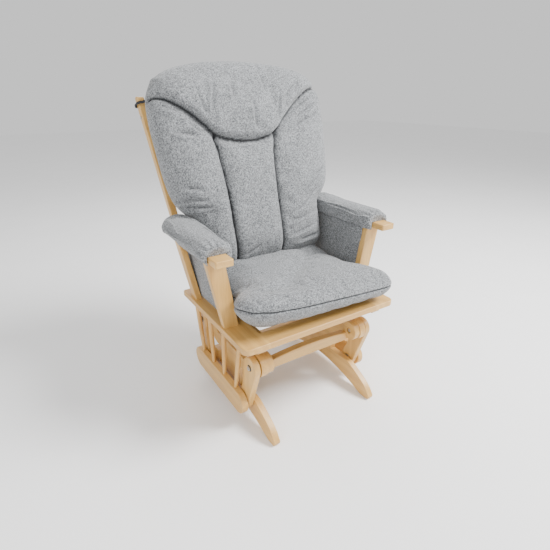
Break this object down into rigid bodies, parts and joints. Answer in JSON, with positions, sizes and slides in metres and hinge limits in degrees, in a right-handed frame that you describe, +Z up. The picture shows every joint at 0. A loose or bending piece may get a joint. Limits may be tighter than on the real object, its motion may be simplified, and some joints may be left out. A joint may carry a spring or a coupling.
{
  "type": "glider nursery chair",
  "caption": "Wooden glider armchair: a padded seat body hangs from swing links on a fixed base with arched feet, and glides fore and aft.",
  "frame": {"origin": "on the floor, under the middle of the chair's bounding box", "axes": "+Z up, +X to the left of a sitter, -Y the way the sitter faces; names with left are on the -X side, as seen from in front"},
  "size_m": [0.686, 0.6394, 1.0768],
  "materials": {
    "natural_wood": "satin clear lacquer",
    "grey_fabric": "heathered flat weave",
    "webbing": "woven elastic",
    "black_elastic": "flat elastic",
    "hardware_steel": "zinc plated",
    "bearing_plastic": "matt"
  },
  "bodies": {
    "base": {"base_side_left": "natural_wood", "base_side_right": "natural_wood", "foot_left": "natural_wood", "foot_right": "natural_wood", "front_crossbar": "natural_wood", "pivot_bosses_left": "natural_wood", "pivot_bosses_right": "natural_wood", "rear_crossbar": "natural_wood", "rear_stretcher": "natural_wood", "upper_pivot_bolts": "hardware_steel", "upper_pivot_nuts": "hardware_steel", "upper_pivot_spacers": "hardware_steel"},
    "seat": {"arm_apron_left": "grey_fabric", "arm_apron_right": "grey_fabric", "arm_board_left": "natural_wood", "arm_board_right": "natural_wood", "arm_pad_left": "grey_fabric", "arm_pad_right": "grey_fabric", "back_bottom_rail": "natural_wood", "back_cushion": "grey_fabric", "back_post_left": "natural_wood", "back_post_right": "natural_wood", "back_screws": "hardware_steel", "back_slat_1": "natural_wood", "back_slat_2": "natural_wood", "back_slat_3": "natural_wood", "back_slat_4": "natural_wood", "back_slat_5": "natural_wood", "back_top_rail": "natural_wood", "batten_left": "natural_wood", "batten_right": "natural_wood", "front_arm_post_left": "natural_wood", "front_arm_post_right": "natural_wood", "front_board": "natural_wood", "lower_pivot_bolts": "hardware_steel", "lower_rail_left": "natural_wood", "lower_rail_right": "natural_wood", "rear_arm_post_left": "natural_wood", "rear_arm_post_right": "natural_wood", "rear_board": "natural_wood", "seat_cushion": "grey_fabric", "seat_straps": "webbing", "side_board_left": "natural_wood", "side_board_right": "natural_wood", "spindles_left": "natural_wood", "spindles_right": "natural_wood", "support_rail_left": "natural_wood", "support_rail_right": "natural_wood", "tie_straps": "black_elastic"},
    "swing_link_front_left": {"link_front_left": "natural_wood", "bearings_front_left": "bearing_plastic"},
    "swing_link_front_right": {"link_front_right": "natural_wood", "bearings_front_right": "bearing_plastic"},
    "swing_link_rear_left": {"link_rear_left": "natural_wood", "bearings_rear_left": "bearing_plastic"},
    "swing_link_rear_right": {"link_rear_right": "natural_wood", "bearings_rear_right": "bearing_plastic"}
  },
  "joints": [
    {"name": "glide", "type": "hinge", "parent": "base", "child": "swing_link_rear_left", "pos_m": [-0.217, 0.12527, 0.238], "axis": [1, 0, 0], "range_deg": [-13.2, 13.2]},
    {"name": "seat_on_rear_left_link", "type": "hinge", "parent": "swing_link_rear_left", "child": "seat", "pos_m": [-0.217, 0.11427, 0.08341], "axis": [1, 0, 0], "range_deg": [-16.4, 16.4]},
    {"name": "rear_right_link_swing", "type": "hinge", "parent": "base", "child": "swing_link_rear_right", "pos_m": [0.217, 0.12527, 0.238], "axis": [1, 0, 0], "range_deg": [-13.7, 13.7]},
    {"name": "front_left_link_swing", "type": "hinge", "parent": "base", "child": "swing_link_front_left", "pos_m": [-0.217, -0.21973, 0.238], "axis": [1, 0, 0], "range_deg": [-14.42, 14.42]},
    {"name": "front_right_link_swing", "type": "hinge", "parent": "base", "child": "swing_link_front_right", "pos_m": [0.217, -0.21973, 0.238], "axis": [1, 0, 0], "range_deg": [-14.42, 14.42]}
  ],
  "couplings": [
    {"joint": "seat_on_rear_left_link", "follows": "glide", "ratio": -1.2048},
    {"joint": "rear_right_link_swing", "follows": "glide", "ratio": 1},
    {"joint": "front_left_link_swing", "follows": "glide", "ratio": 1.0545},
    {"joint": "front_right_link_swing", "follows": "glide", "ratio": 1.0545}
  ]
}
